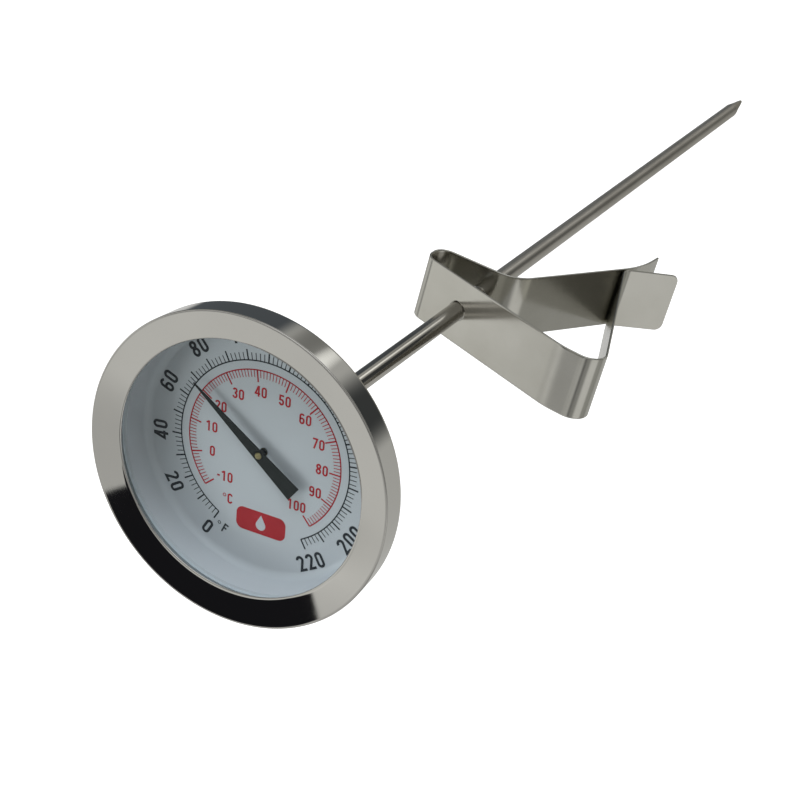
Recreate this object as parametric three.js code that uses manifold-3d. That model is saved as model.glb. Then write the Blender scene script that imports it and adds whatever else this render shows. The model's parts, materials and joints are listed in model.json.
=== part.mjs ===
// Dial thermometer with a long bimetal stem and a spring clip that hangs it on the rim of a vessel.
// Millimetres, +Z up. The stem hangs straight down and the dial faces up.
// The origin is the pinch of the clip, where it grips the vessel wall. +X points out of the vessel.
import * as THREE from "three";
import { mergeVertices } from "three/addons/utils/BufferGeometryUtils.js";
import Module from "manifold-3d";

const wasm = await Module();
wasm.setup();

// ---- driving dimensions ----
const STEM_X = -24.6; // stem axis, measured from the grip
const DIAL_Z = 126.6; // printed face of the dial, above the grip
const DIAL_TURN = THREE.MathUtils.degToRad(9.6); // the dial's reading direction, turned from +X
const STEM_R = 2.1;
const STEM_BORE_R = 1.75;
const STEM_LENGTH = 304.8; // below the back of the case
const SLIP = 0.1; // gap between pieces that are assembled with a light fit
const RUN = 0.08; // running clearance of the spindle in its bushes

// Head, heights from the printed face of the dial
const OPENING_R = 25.4;
const BEZEL_R = 31.3;
const FLANGE_R = 30.1; // rim of the lens, gasket, dial and case, all clamped by the bezel
const OPENING_Z = 9.5;
const LENS_Z = 7.3;
const LENS_T = 1.5;
const DIAL_T = 0.5;
const DIAL_RIM_Z = 6.6;
const CASE_T = 0.6;
const CASE_FLANGE_Z = 6.0;
const CASE_R = 27.5;
const CASE_BACK_Z = -7.0;
const CASE_HOLE_R = 3.1;
const BACK_RING_R = 7.5; // the case back is a clear flat ring outside this radius, past the nut's corners
const SPINDLE_R = 0.5;

// Calibration gland under the case
const NECK_R = 2.9;
const NECK_END_Z = -12.0;
const GLAND_FLANGE_R = 5.6;
const GLAND_FLANGE_Z = -5.0;
const WASHER_T = 0.35;
const O_RING_T = 1.0;
const NUT_FLATS = 11;
const NUT_TOP_Z = CASE_BACK_Z - O_RING_T - 0.15;
const NUT_END_Z = -14.0;

// Pointer, swept over the scale: 300 degrees for 220 degrees Fahrenheit, zero at lower left
const SCALE_ZERO = 240;
const DEGREES_PER_F = 300 / 220;
const REST_READING_F = 70.5;
const POINTER_Z = 1.75;
const POINTER_T = 0.25;
const POINTER_TIP = 18.2;
const POINTER_TAIL = 9.4;
const POINTER_TIP_W = 0.3;
const POINTER_TAIL_W = 3.2;

// Bimetal helix near the tip of the stem
const HELIX_TOP_Z = -238;
const HELIX_R = 1.2;
const HELIX_PITCH = 3;
const HELIX_TURNS = 16;
const HELIX_STEPS = 12; // facets in each turn
const HELIX_STRIP = [0.2, 1.4]; // thickness and width
const ANCHOR_LENGTH = 3;
const TIP_CONE = 13;
const TIP_PLUG = 5;

// Clip
const STRIP_T = 0.5;
const STRIP_W = 15.4;
const CLIP_HOLE_R = 2.35;
const TAB_CORNER_R = 1.8;
const LOOP_SLIT = THREE.MathUtils.degToRad(15); // slit left in the bend for the jaw's travel

// Facets round a turned piece
const HEAD_SIDES = 48;
const STEM_SIDES = 20;
const SMALL_SIDES = 14;
const FILLET_STEP = THREE.MathUtils.degToRad(15);

// ---- finishes ----
const finish = (color, roughness, metalness) => new THREE.MeshStandardMaterial({ color, roughness, metalness });
const POLISHED = finish(0xc9c6bf, 0.12, 1);
const SATIN = finish(0xb4b0a5, 0.32, 1);
const DRAWN = finish(0x8f8b82, 0.4, 1);
const ENAMEL = finish(0xb9c2cc, 0.45, 0);
const CLEAR = new THREE.MeshStandardMaterial({ color: 0xffffff, roughness: 0.03, transparent: true, opacity: 0.2 });
const SILICONE = finish(0xd9dde0, 0.6, 0);
const NITRILE = finish(0x1c1c1c, 0.7, 0);
const BLACKED = finish(0x17191b, 0.5, 0);
const BRASS = finish(0xb08d3c, 0.3, 1);
const BIMETAL = finish(0x9a9183, 0.4, 1);

// ---- shape helpers ----
function named(name, geometry, material) {
  const mesh = new THREE.Mesh(geometry, material);
  mesh.name = name;
  return mesh;
}

// A turned solid. The profile is [radius, height] pairs, walked so that the material lies on its left.
function turned(profile, sides) {
  const points = profile.map(([r, z]) => new THREE.Vector2(r, z));
  if (profile[0][0] > 0) points.push(points[0].clone());
  return new THREE.LatheGeometry(points, sides).rotateX(Math.PI / 2);
}

function ring(innerR, outerR, bottom, top, sides) {
  return turned([[innerR, bottom], [outerR, bottom], [outerR, top], [innerR, top]], sides);
}

// An outline in x and y, extruded up from a height.
function plate(shape, bottom, thickness) {
  return new THREE.ExtrudeGeometry(shape, { depth: thickness, bevelEnabled: false, curveSegments: 8 })
    .translate(0, 0, bottom);
}

function toSolid(geometry) {
  const bare = geometry.clone();
  bare.deleteAttribute("normal");
  bare.deleteAttribute("uv");
  const merged = mergeVertices(bare, 1e-4);
  const triVerts = new Uint32Array(merged.index.array);
  return new wasm.Manifold(
    new wasm.Mesh({ numProp: 3, vertProperties: merged.attributes.position.array, triVerts }),
  );
}

function toGeometry(solid) {
  const mesh = solid.getMesh();
  const geometry = new THREE.BufferGeometry();
  geometry.setAttribute("position", new THREE.BufferAttribute(mesh.vertProperties, 3));
  geometry.setIndex(new THREE.BufferAttribute(mesh.triVerts, 1));
  geometry.computeVertexNormals();
  return geometry;
}

// Round the corner at b with a fillet of radius r: its centre, and the arc from start to end angle.
function fillet(a, b, c, r) {
  const toA = a.clone().sub(b).normalize();
  const toC = c.clone().sub(b).normalize();
  const half = toA.angleTo(toC) / 2;
  const centre = toA.clone().add(toC).normalize().multiplyScalar(r / Math.sin(half)).add(b);
  const from = toA.clone().multiplyScalar(r / Math.tan(half)).add(b).sub(centre);
  const to = toC.clone().multiplyScalar(r / Math.tan(half)).add(b).sub(centre);
  const sweep = Math.atan2(from.cross(to), from.dot(to));
  return { centre, r, start: from.angle(), sweep };
}

function arcPoints({ centre, r, start, sweep }, from = 0, to = 1) {
  const steps = Math.max(2, Math.ceil((Math.abs(sweep) * (to - from)) / FILLET_STEP));
  return Array.from({ length: steps + 1 }, (_, i) => {
    const angle = start + sweep * (from + ((to - from) * i) / steps);
    return new THREE.Vector2(centre.x + r * Math.cos(angle), centre.y + r * Math.sin(angle));
  });
}

// ---- head ----
function bezelRing() {
  return turned([
    [OPENING_R, OPENING_Z - 0.1],
    [OPENING_R + 0.2, OPENING_Z - 0.55],
    [29.7, 9.85],
    [30.55, 9.0],
    [30.5, 5.3],
    [30.2, 4.9],
    [29.0, 4.9],
    [28.8, 4.5],
    [29.0, 4.1],
    [30.4, 4.1],
    [31.0, 4.7],
    [BEZEL_R, 9.1],
    [BEZEL_R - 0.3, 9.9],
    [BEZEL_R - 0.75, 10.35],
    [BEZEL_R - 1.4, 10.5],
    [OPENING_R + 0.1, OPENING_Z + 0.05],
  ], HEAD_SIDES);
}

function lens() {
  return turned([[0, LENS_Z], [FLANGE_R, LENS_Z], [FLANGE_R, LENS_Z + LENS_T], [0, LENS_Z + LENS_T]], HEAD_SIDES);
}

function lensGasket() {
  return ring(26.7, FLANGE_R, DIAL_RIM_Z + SLIP / 2, LENS_Z - SLIP / 2, HEAD_SIDES);
}

// Dished dial: the flat printed face curves up into a wall that reaches the lens.
function dialDish() {
  return turned([
    [SPINDLE_R + 0.6, 0],
    [SPINDLE_R + 0.6, -DIAL_T],
    [24.7, -DIAL_T],
    [26.0, -0.1],
    [26.5, 1.2],
    [26.9, DIAL_RIM_Z - DIAL_T],
    [FLANGE_R, DIAL_RIM_Z - DIAL_T],
    [FLANGE_R, DIAL_RIM_Z],
    [26.4, DIAL_RIM_Z],
    [26.0, 1.4],
    [25.55, 0.4],
    [24.6, 0],
  ], HEAD_SIDES);
}

function caseCup() {
  const inner = CASE_R - CASE_T;
  return turned([
    [CASE_HOLE_R, CASE_BACK_Z],
    [BACK_RING_R, CASE_BACK_Z],
    [19.6, CASE_BACK_Z],
    [21.3, CASE_BACK_Z + 0.5],
    [26.6, -1.0],
    [CASE_R, 1.6],
    [CASE_R + SLIP, CASE_FLANGE_Z - CASE_T],
    [FLANGE_R, CASE_FLANGE_Z - CASE_T],
    [FLANGE_R, CASE_FLANGE_Z],
    [inner + SLIP, CASE_FLANGE_Z],
    [inner, 1.6],
    [26.1, -0.8],
    [21.0, CASE_BACK_Z + 1.0],
    [19.4, CASE_BACK_Z + CASE_T],
    [CASE_HOLE_R, CASE_BACK_Z + CASE_T],
  ], HEAD_SIDES);
}

// ---- calibration gland: the nut clamps the case between itself and the bushing's flange ----
function glandBushing() {
  const underFlange = CASE_BACK_Z + CASE_T + WASHER_T + SLIP;
  return turned([
    [STEM_R + 0.02, NECK_END_Z],
    [NECK_R, NECK_END_Z],
    [NECK_R, underFlange],
    [GLAND_FLANGE_R, underFlange],
    [GLAND_FLANGE_R, GLAND_FLANGE_Z],
    [STEM_R + 0.02, GLAND_FLANGE_Z],
  ], STEM_SIDES);
}

function springWasher() {
  const bottom = CASE_BACK_Z + CASE_T + SLIP / 2;
  return ring(NECK_R + SLIP, GLAND_FLANGE_R - 0.2, bottom, bottom + WASHER_T, STEM_SIDES);
}

function oRing() {
  const top = CASE_BACK_Z - SLIP / 2;
  const innerR = NECK_R + SLIP;
  return turned([
    [innerR, top - 0.7 * O_RING_T],
    [innerR + 0.4, top - O_RING_T],
    [innerR + 1.1, top - O_RING_T],
    [innerR + 1.5, top - 0.7 * O_RING_T],
    [innerR + 1.5, top - 0.3 * O_RING_T],
    [innerR + 1.1, top],
    [innerR + 0.4, top],
    [innerR, top - 0.3 * O_RING_T],
  ], STEM_SIDES);
}

function hexNut() {
  const cornerR = NUT_FLATS / Math.sqrt(3);
  const hexagon = new THREE.Shape(
    Array.from({ length: 6 }, (_, i) => new THREE.Vector2(cornerR, 0).rotateAround(new THREE.Vector2(), (i * Math.PI) / 3)),
  );
  const block = toSolid(plate(hexagon, NUT_END_Z, NUT_TOP_Z - NUT_END_Z));
  const chamfered = toSolid(turned([
    [0, NUT_END_Z - 1],
    [cornerR - 0.9, NUT_END_Z - 1],
    [cornerR - 0.6, NUT_END_Z],
    [cornerR + 0.1, NUT_END_Z + 0.9],
    [cornerR + 0.1, NUT_TOP_Z - 0.9],
    [cornerR - 0.6, NUT_TOP_Z],
    [cornerR - 0.9, NUT_TOP_Z + 1],
    [0, NUT_TOP_Z + 1],
  ], STEM_SIDES * 2));
  const bore = toSolid(turned([
    [0, NUT_END_Z - 1],
    [STEM_R + SLIP, NUT_END_Z - 1],
    [STEM_R + SLIP, NECK_END_Z - 0.3],
    [NECK_R + SLIP, NECK_END_Z - 0.3],
    [NECK_R + SLIP, NUT_TOP_Z + 1],
    [0, NUT_TOP_Z + 1],
  ], STEM_SIDES));
  return toGeometry(block.intersect(chamfered).subtract(bore));
}

// ---- stem ----
const STEM_END_Z = CASE_BACK_Z - STEM_LENGTH;
const CONE_TOP_Z = STEM_END_Z + TIP_CONE;

function stemTube() {
  return ring(STEM_BORE_R, STEM_R, CONE_TOP_Z, GLAND_FLANGE_Z - SLIP, STEM_SIDES);
}

function stemTip() {
  const bluntR = 0.12;
  return turned([
    [0, STEM_END_Z],
    [bluntR, STEM_END_Z + 0.1],
    [STEM_R, CONE_TOP_Z - SLIP / 2],
    [STEM_BORE_R - SLIP / 2, CONE_TOP_Z - SLIP / 2],
    [STEM_BORE_R - SLIP / 2, CONE_TOP_Z + TIP_PLUG],
    [0, CONE_TOP_Z + TIP_PLUG],
  ], STEM_SIDES);
}

function bush(middle, length) {
  return ring(SPINDLE_R + RUN, STEM_BORE_R - 0.03, middle - length / 2, middle + length / 2, SMALL_SIDES);
}

// A flat strip wound into a helix: its section stays upright, in the plane of the axis, at each step.
function bimetalHelix() {
  const [thickness, width] = HELIX_STRIP;
  const section = [
    [HELIX_R - thickness / 2, -width],
    [HELIX_R + thickness / 2, -width],
    [HELIX_R + thickness / 2, 0],
    [HELIX_R - thickness / 2, 0],
  ];
  const steps = HELIX_TURNS * HELIX_STEPS;
  const positions = [];
  for (let i = 0; i <= steps; i++) {
    const angle = (2 * Math.PI * i) / HELIX_STEPS;
    const drop = (HELIX_PITCH * i) / HELIX_STEPS;
    for (const [r, z] of section) {
      positions.push(r * Math.cos(angle), r * Math.sin(angle), HELIX_TOP_Z + z - drop);
    }
  }
  const sides = section.length;
  const index = [0, 1, 2, 0, 2, 3];
  for (let i = 0; i < steps; i++) {
    for (let j = 0; j < sides; j++) {
      const a = i * sides + j;
      const b = i * sides + ((j + 1) % sides);
      index.push(a, a + sides, b, b, a + sides, b + sides);
    }
  }
  const last = steps * sides;
  index.push(last, last + 2, last + 1, last, last + 3, last + 2);
  const geometry = new THREE.BufferGeometry();
  geometry.setAttribute("position", new THREE.Float32BufferAttribute(positions, 3));
  geometry.setIndex(index);
  return geometry;
}

const HELIX_END_Z = HELIX_TOP_Z - HELIX_TURNS * HELIX_PITCH - HELIX_STRIP[1];

function helixAnchor() {
  return turned([
    [0, HELIX_END_Z - SLIP - ANCHOR_LENGTH],
    [STEM_BORE_R - SLIP / 2, HELIX_END_Z - SLIP - ANCHOR_LENGTH],
    [STEM_BORE_R - SLIP / 2, HELIX_END_Z - SLIP],
    [0, HELIX_END_Z - SLIP],
  ], SMALL_SIDES);
}

// ---- pointer and its spindle ----
function spindle() {
  return turned([
    [0, HELIX_TOP_Z + 2.5],
    [SPINDLE_R, HELIX_TOP_Z + 2.5],
    [SPINDLE_R, POINTER_Z + POINTER_T + 0.1],
    [0, POINTER_Z + POINTER_T + 0.1],
  ], SMALL_SIDES);
}

function helixFerrule() {
  const bottom = HELIX_TOP_Z + SLIP;
  const middle = HELIX_TOP_Z + 2.4;
  const boreR = SPINDLE_R + 0.02;
  return turned([
    [0, bottom],
    [1.3, bottom],
    [1.3, bottom + 4.5],
    [boreR, bottom + 4.5],
    [boreR, middle],
    [0, middle],
  ], SMALL_SIDES);
}

function pointer() {
  const blade = new THREE.Shape([
    new THREE.Vector2(POINTER_TIP, -POINTER_TIP_W / 2),
    new THREE.Vector2(POINTER_TIP, POINTER_TIP_W / 2),
    new THREE.Vector2(-POINTER_TAIL, POINTER_TAIL_W / 2),
    new THREE.Vector2(-POINTER_TAIL, -POINTER_TAIL_W / 2),
  ]);
  const eye = new THREE.Path().absarc(0, 0, SPINDLE_R + 0.03, 0, 2 * Math.PI, true);
  blade.holes.push(eye);
  return plate(blade, POINTER_Z, POINTER_T);
}

function pointerHub() {
  return turned([
    [SPINDLE_R + 0.03, 0.3],
    [0.95, 0.3],
    [0.95, 0.9],
    [1.2, 1.2],
    [1.2, POINTER_Z - 0.05],
    [SPINDLE_R + 0.03, POINTER_Z - 0.05],
  ], SMALL_SIDES);
}

function pointerPin() {
  const bottom = POINTER_Z + POINTER_T + 0.15;
  return turned([[0, bottom], [0.72, bottom], [0.72, bottom + 0.12], [0.45, bottom + 0.32], [0, bottom + 0.36]], SMALL_SIDES);
}

// ---- clip: one spring strip, bent twice back on itself, drawn in the x and z plane ----
const CLIP_BACK = new THREE.Vector2(-36.5, 30.5);
const CLIP_FRONT = new THREE.Vector2(-36.5, 37.6);
const CREASE = new THREE.Vector2(3.9, 51.2);
const LOOP = new THREE.Vector2(14.3, 52.1);
const PINCH = new THREE.Vector2(-0.43, 0.4);
const TAB_END = new THREE.Vector2(10.6, -9.1);
const loopBend = fillet(CREASE, LOOP, PINCH, 4.2);
const SLIT_FROM = 0.45;
const SLIT_TO = SLIT_FROM + LOOP_SLIT / Math.abs(loopBend.sweep);

// Inner jaw, rear leg, hairpin round the stem and front leg, up to the slit in the outer bend.
function bandLine() {
  const lip = new THREE.Vector2(3.0, -14.4);
  const lipBend = new THREE.Vector2(2.1, -5.2);
  const legBend = new THREE.Vector2(-16.7, 30.3);
  return [
    lip,
    ...arcPoints(fillet(lip, lipBend, legBend, 30)),
    ...arcPoints(fillet(lipBend, legBend, CLIP_BACK, 8)),
    ...arcPoints(fillet(legBend, CLIP_BACK, CLIP_FRONT, 3.5)),
    ...arcPoints(fillet(CLIP_BACK, CLIP_FRONT, CREASE, 3.5)),
    ...arcPoints(fillet(CLIP_FRONT, CREASE, LOOP, 8)),
    ...arcPoints(loopBend, 0, SLIT_FROM),
  ];
}

// Outer jaw from the slit down to the pinch, and the tab that flares out from it.
function jawLine() {
  return [
    ...arcPoints(loopBend, SLIT_TO, 1),
    ...arcPoints(fillet(LOOP, PINCH, TAB_END, 2.2)),
    TAB_END,
  ];
}

// A strip of even thickness along a bent line, as wide as the clip along Y.
function strip(line) {
  const normals = line.map((p, i) => {
    const before = line[Math.max(0, i - 1)];
    const after = line[Math.min(line.length - 1, i + 1)];
    return after.clone().sub(before).normalize().rotateAround(new THREE.Vector2(), Math.PI / 2);
  });
  const side = (offset) => line.map((p, i) => p.clone().addScaledVector(normals[i], offset));
  const outline = new THREE.Shape([...side(-STRIP_T / 2), ...side(STRIP_T / 2).reverse()]);
  return new THREE.ExtrudeGeometry(outline, { depth: STRIP_W, bevelEnabled: false })
    .rotateX(Math.PI / 2)
    .translate(0, STRIP_W / 2, 0);
}

function clipBand() {
  const hole = turned([[0, 20], [CLIP_HOLE_R, 20], [CLIP_HOLE_R, 60], [0, 60]], STEM_SIDES).translate(STEM_X, 0, 0);
  return toGeometry(toSolid(strip(bandLine())).subtract(toSolid(hole)));
}

// The tab's two free corners are rounded.
function clipJaw() {
  const half = STRIP_W / 2;
  const end = TAB_END.x + STRIP_T / 3;
  const inset = end - TAB_CORNER_R;
  const offcuts = [-1, 1].map((side) => {
    const offcut = new THREE.Shape();
    offcut.moveTo(inset, side * half);
    offcut.quadraticCurveTo(end, side * half, end, side * (half - TAB_CORNER_R));
    offcut.lineTo(end + 1, side * (half - TAB_CORNER_R));
    offcut.lineTo(end + 1, side * (half + 1));
    offcut.lineTo(inset, side * (half + 1));
    return toSolid(plate(offcut, TAB_END.y - 2, 5));
  });
  const jaw = toSolid(strip(jawLine()));
  return toGeometry(offcuts.reduce((rest, offcut) => rest.subtract(offcut), jaw));
}

// ---- assembly ----
const pointerGroup = new THREE.Group();
pointerGroup.add(
  named("spindle", spindle(), DRAWN),
  named("helix_ferrule", helixFerrule(), BRASS),
  named("pointer_hub", pointerHub(), BLACKED),
  named("pointer", pointer(), BLACKED),
  named("pointer_pin", pointerPin(), BRASS),
);
pointerGroup.rotation.z = THREE.MathUtils.degToRad(SCALE_ZERO - REST_READING_F * DEGREES_PER_F);

const stemGroup = new THREE.Group();
stemGroup.add(
  named("stem_tube", stemTube(), SATIN),
  named("stem_tip", stemTip(), SATIN),
  named("upper_bush", bush(-8, 3), BRASS),
  named("middle_bush", bush(-124, 3), BRASS),
  named("lower_bush", bush(-228, 3), BRASS),
  named("bimetal_helix", bimetalHelix(), BIMETAL),
  named("helix_anchor", helixAnchor(), BRASS),
  named("gland_bushing", glandBushing(), BRASS),
  named("spring_washer", springWasher(), DRAWN),
  named("o_ring", oRing(), NITRILE),
  named("calibration_nut", hexNut(), SATIN),
);

const headGroup = new THREE.Group();
headGroup.add(
  named("case_cup", caseCup(), DRAWN),
  named("dial_dish", dialDish(), ENAMEL),
  named("lens_gasket", lensGasket(), SILICONE),
  named("lens", lens(), CLEAR),
  named("bezel_ring", bezelRing(), POLISHED),
);

const instrument = new THREE.Group();
instrument.add(headGroup, stemGroup, pointerGroup);
instrument.position.set(STEM_X, 0, DIAL_Z);
instrument.rotation.z = DIAL_TURN;

const clip = new THREE.Group();
clip.add(named("clip_band", clipBand(), SATIN), named("clip_jaw", clipJaw(), SATIN));

const thermometer = new THREE.Group();
thermometer.add(clip, instrument);

export default thermometer;
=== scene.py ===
import json
import math

import bmesh
import bpy
from mathutils import Matrix, Quaternion, Vector


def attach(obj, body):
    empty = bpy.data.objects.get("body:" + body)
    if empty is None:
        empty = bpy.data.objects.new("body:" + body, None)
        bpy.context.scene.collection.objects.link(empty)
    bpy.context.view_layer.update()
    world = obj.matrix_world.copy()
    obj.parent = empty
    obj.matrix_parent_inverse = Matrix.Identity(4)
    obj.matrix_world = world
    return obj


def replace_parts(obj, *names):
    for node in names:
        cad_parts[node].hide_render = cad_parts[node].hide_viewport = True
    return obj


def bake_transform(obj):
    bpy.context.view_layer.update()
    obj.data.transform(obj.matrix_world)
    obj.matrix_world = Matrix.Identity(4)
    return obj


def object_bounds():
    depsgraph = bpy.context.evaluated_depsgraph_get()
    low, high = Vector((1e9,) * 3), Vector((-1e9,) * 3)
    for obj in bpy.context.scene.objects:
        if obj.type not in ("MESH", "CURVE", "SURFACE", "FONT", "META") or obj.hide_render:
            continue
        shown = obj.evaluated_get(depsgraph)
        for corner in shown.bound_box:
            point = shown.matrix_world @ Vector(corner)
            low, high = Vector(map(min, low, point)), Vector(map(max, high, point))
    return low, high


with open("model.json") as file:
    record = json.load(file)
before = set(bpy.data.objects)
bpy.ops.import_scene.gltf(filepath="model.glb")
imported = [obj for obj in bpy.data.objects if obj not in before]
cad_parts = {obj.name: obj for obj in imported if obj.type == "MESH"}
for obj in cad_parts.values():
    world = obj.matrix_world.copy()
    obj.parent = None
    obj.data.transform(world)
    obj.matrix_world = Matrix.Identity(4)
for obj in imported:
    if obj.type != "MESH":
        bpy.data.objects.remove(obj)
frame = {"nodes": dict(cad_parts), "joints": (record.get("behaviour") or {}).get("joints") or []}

cad_low, cad_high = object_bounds()

MM = 0.001
TINY = 1e-6
DIAL_CENTRE = Vector(next(j["pos_m"] for j in frame["joints"] if j["name"] == "pointer_swing"))
DIAL_TURN = math.radians(9.6)
DIAL_TO_ROW = Matrix.Translation(DIAL_CENTRE) @ Matrix.Rotation(DIAL_TURN, 4, "Z") @ Matrix.Scale(MM, 4)
CLIP_TO_ROW = Matrix.Scale(MM, 4)
AROUND = 192  # facets round a large turned piece
AROUND_SMALL = 64
SHARP = math.radians(35)
EASED_SHARE = 0.45  # the most of an edge that the rounding of a corner takes


# ---- mesh helpers ----
def linked(name, data):
    """A new object in the scene."""
    thing = bpy.data.objects.new(name, data)
    bpy.context.scene.collection.objects.link(thing)
    return thing


def placed(name, mesh, material, to_row):
    """An object from a mesh drawn in millimetres, moved to the row frame and smooth up to its sharp edges."""
    mesh.transform(to_row)
    mesh.polygons.foreach_set("use_smooth", [True] * len(mesh.polygons))
    mesh.set_sharp_from_angle(angle=SHARP)
    mesh.materials.clear()
    mesh.materials.append(material)
    mesh.update()
    return linked(name, mesh)


def finish_mesh(name, mesh, body, material, to_row=DIAL_TO_ROW):
    """A placed piece that rides on a body."""
    piece = placed(name, mesh, material, to_row)
    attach(piece, body)
    return piece


def mesh_from(bm, name):
    bmesh.ops.recalc_face_normals(bm, faces=bm.faces)
    mesh = bpy.data.meshes.new(name)
    bm.to_mesh(mesh)
    bm.free()
    return mesh


def around(angle, radius):
    """The point at an angle in degrees and a radius."""
    return (radius * math.cos(math.radians(angle)), radius * math.sin(math.radians(angle)))


def arc(centre, radius, start, end, steps):
    """Points on an arc, angles in degrees."""
    spokes = [around(start + (end - start) * i / steps, radius) for i in range(steps + 1)]
    return [(centre[0] + x, centre[1] + y) for x, y in spokes]


def rounded_box(centre, half_w, half_h, radius, steps):
    """The outline of a rectangle with rounded corners."""
    outline = []
    for side_x, side_y, start in ((1, 1, 0), (-1, 1, 90), (-1, -1, 180), (1, -1, 270)):
        corner = (centre[0] + side_x * (half_w - radius), centre[1] + side_y * (half_h - radius))
        outline += arc(corner, radius, start, start + 90, steps)
    return outline


def eased(points, radius, steps=5):
    """A closed outline with each corner off the axis rounded, by less where its edges are short."""
    out = []
    for i, here in enumerate(points):
        corner = Vector(here)
        if here[0] < TINY:
            out.append(here)
            continue
        before = Vector(points[i - 1]) - corner
        after = Vector(points[(i + 1) % len(points)]) - corner
        back = before.normalized() * min(radius, before.length * EASED_SHARE)
        ahead = after.normalized() * min(radius, after.length * EASED_SHARE)
        shares = [k / steps for k in range(steps + 1)]
        out += [tuple(corner + back * (1 - t) ** 2 + ahead * t**2) for t in shares]
    return out


def held(points, near=0.12):
    """The line with two points added near the ends of each long stretch, which then shades flat.

    A stretch is long if it is more than four times as long as the points are near."""
    out = []
    for here, there in zip(points, points[1:]):
        a, b = Vector(here), Vector(there)
        out.append(tuple(a))
        if (b - a).length > 4 * near:
            step = (b - a).normalized() * near
            out += [tuple(a + step), tuple(b - step)]
    return [*out, tuple(points[-1])]


def bridge(bm, here, there):
    """Faces between two rings of points. A ring may be a single point."""
    count = max(len(here), len(there))
    for i in range(count):
        j = (i + 1) % count
        turns = ((here, i), (here, j), (there, j), (there, i))
        face = list(dict.fromkeys(ring[k % len(ring)] for ring, k in turns))
        if len(face) > 2:
            bm.faces.new(face)


def turned_mesh(name, outline, sides):
    """A solid turned about the dial's axis from an outline of (radius, height) points.

    The outline either closes on itself or starts and ends on the axis."""
    on_axis = outline[0][0] < TINY
    line = held(outline) if on_axis else held([*outline, outline[0]])[:-1]
    turns = [2 * math.pi * i / sides for i in range(sides)]
    bm = bmesh.new()
    rings = []
    for r, z in line:
        if r < TINY:
            rings.append([bm.verts.new((0, 0, z))])
        else:
            rings.append([bm.verts.new((r * math.cos(a), r * math.sin(a), z)) for a in turns])
    for here, there in zip(rings, rings[1:] if on_axis else rings[1:] + rings[:1]):
        bridge(bm, here, there)
    return mesh_from(bm, name)


def prism(bm, outline, low_z, high_z):
    """A closed solid over a convex outline."""
    low = [bm.verts.new((x, y, low_z)) for x, y in outline]
    high = [bm.verts.new((x, y, high_z)) for x, y in outline]
    bm.faces.new(high)
    bm.faces.new(low[::-1])
    bridge(bm, low, high)


def cut(mesh, tool):
    """The first mesh with the second one's space taken away."""
    target = linked("cut_target", mesh)
    knife = linked("cut_knife", tool)
    boolean = target.modifiers.new("cut", "BOOLEAN")
    boolean.object = knife
    boolean.operation = "DIFFERENCE"
    boolean.solver = "EXACT"
    evaluated = target.evaluated_get(bpy.context.evaluated_depsgraph_get())
    result = bpy.data.meshes.new_from_object(evaluated)
    for thing in (target, knife):
        bpy.data.objects.remove(thing)
    return result


# ---- materials ----
BLOTCHES = 60.0  # soft patches per metre, on plain metal and on turned metal
TURNED_BLOTCHES = 45.0


def is_socket(value):
    return isinstance(value, bpy.types.NodeSocket)


class Tree:
    """A node tree, with short calls that the finishes and the studio's tent share."""

    def __init__(self, tree):
        self.tree = tree

    def feed(self, socket, value):
        """Link an output to the socket, or set the socket's own value."""
        if is_socket(value):
            self.tree.links.new(value, socket)
        else:
            socket.default_value = value

    def add(self, kind, inputs=None, **settings):
        node = self.tree.nodes.new(kind)
        for key, value in settings.items():
            setattr(node, key, value)
        for key, value in (inputs or {}).items():
            self.feed(node.inputs[key], value)
        return node

    def calculate(self, operation, first, second):
        return self.add("ShaderNodeMath", {0: first, 1: second}, operation=operation).outputs[0]

    def calculate_vector(self, operation, first, second):
        return self.add("ShaderNodeVectorMath", {0: first, 1: second}, operation=operation)

    def mix(self, factor, first, second):
        """Two colours mixed, each a socket or three numbers."""
        first, second = (tone if is_socket(tone) else (*tone, 1) for tone in (first, second))
        inputs = {"Factor": factor, 6: first, 7: second}
        return self.add("ShaderNodeMix", inputs, data_type="RGBA").outputs[2]


class Finish(Tree):
    """A material's node tree."""

    def __init__(self, name):
        self.material = bpy.data.materials.new(name)
        self.material.use_nodes = True
        super().__init__(self.material.node_tree)
        self.shader = self.tree.nodes["Principled BSDF"]
        self.output = self.tree.nodes["Material Output"]

    def place(self, scale=(1, 1, 1), centre=(0, 0, 0)):
        """Object coordinates, measured from a centre and scaled for each axis."""
        coordinates = self.add("ShaderNodeTexCoord").outputs["Object"]
        moved = self.calculate_vector("SUBTRACT", coordinates, centre).outputs[0]
        return self.calculate_vector("MULTIPLY", moved, scale).outputs[0]

    def noise(self, vector, scale=1.0, detail=4.0):
        inputs = {"Vector": vector, "Scale": scale, "Detail": detail}
        return self.add("ShaderNodeTexNoise", inputs).outputs["Fac"]

    def spread(self, value, low, high):
        """Noise from about 0.3 to 0.7, spread from low to high."""
        inputs = {"Value": value, "From Min": 0.3, "From Max": 0.7, "To Min": low, "To Max": high}
        return self.add("ShaderNodeMapRange", inputs).outputs["Result"]

    def bump(self, height, distance):
        inputs = {"Height": height, "Distance": distance, "Strength": 1.0}
        return self.add("ShaderNodeBump", inputs).outputs["Normal"]

    def drive(self, socket, value):
        self.feed(self.shader.inputs[socket], value)


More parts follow.
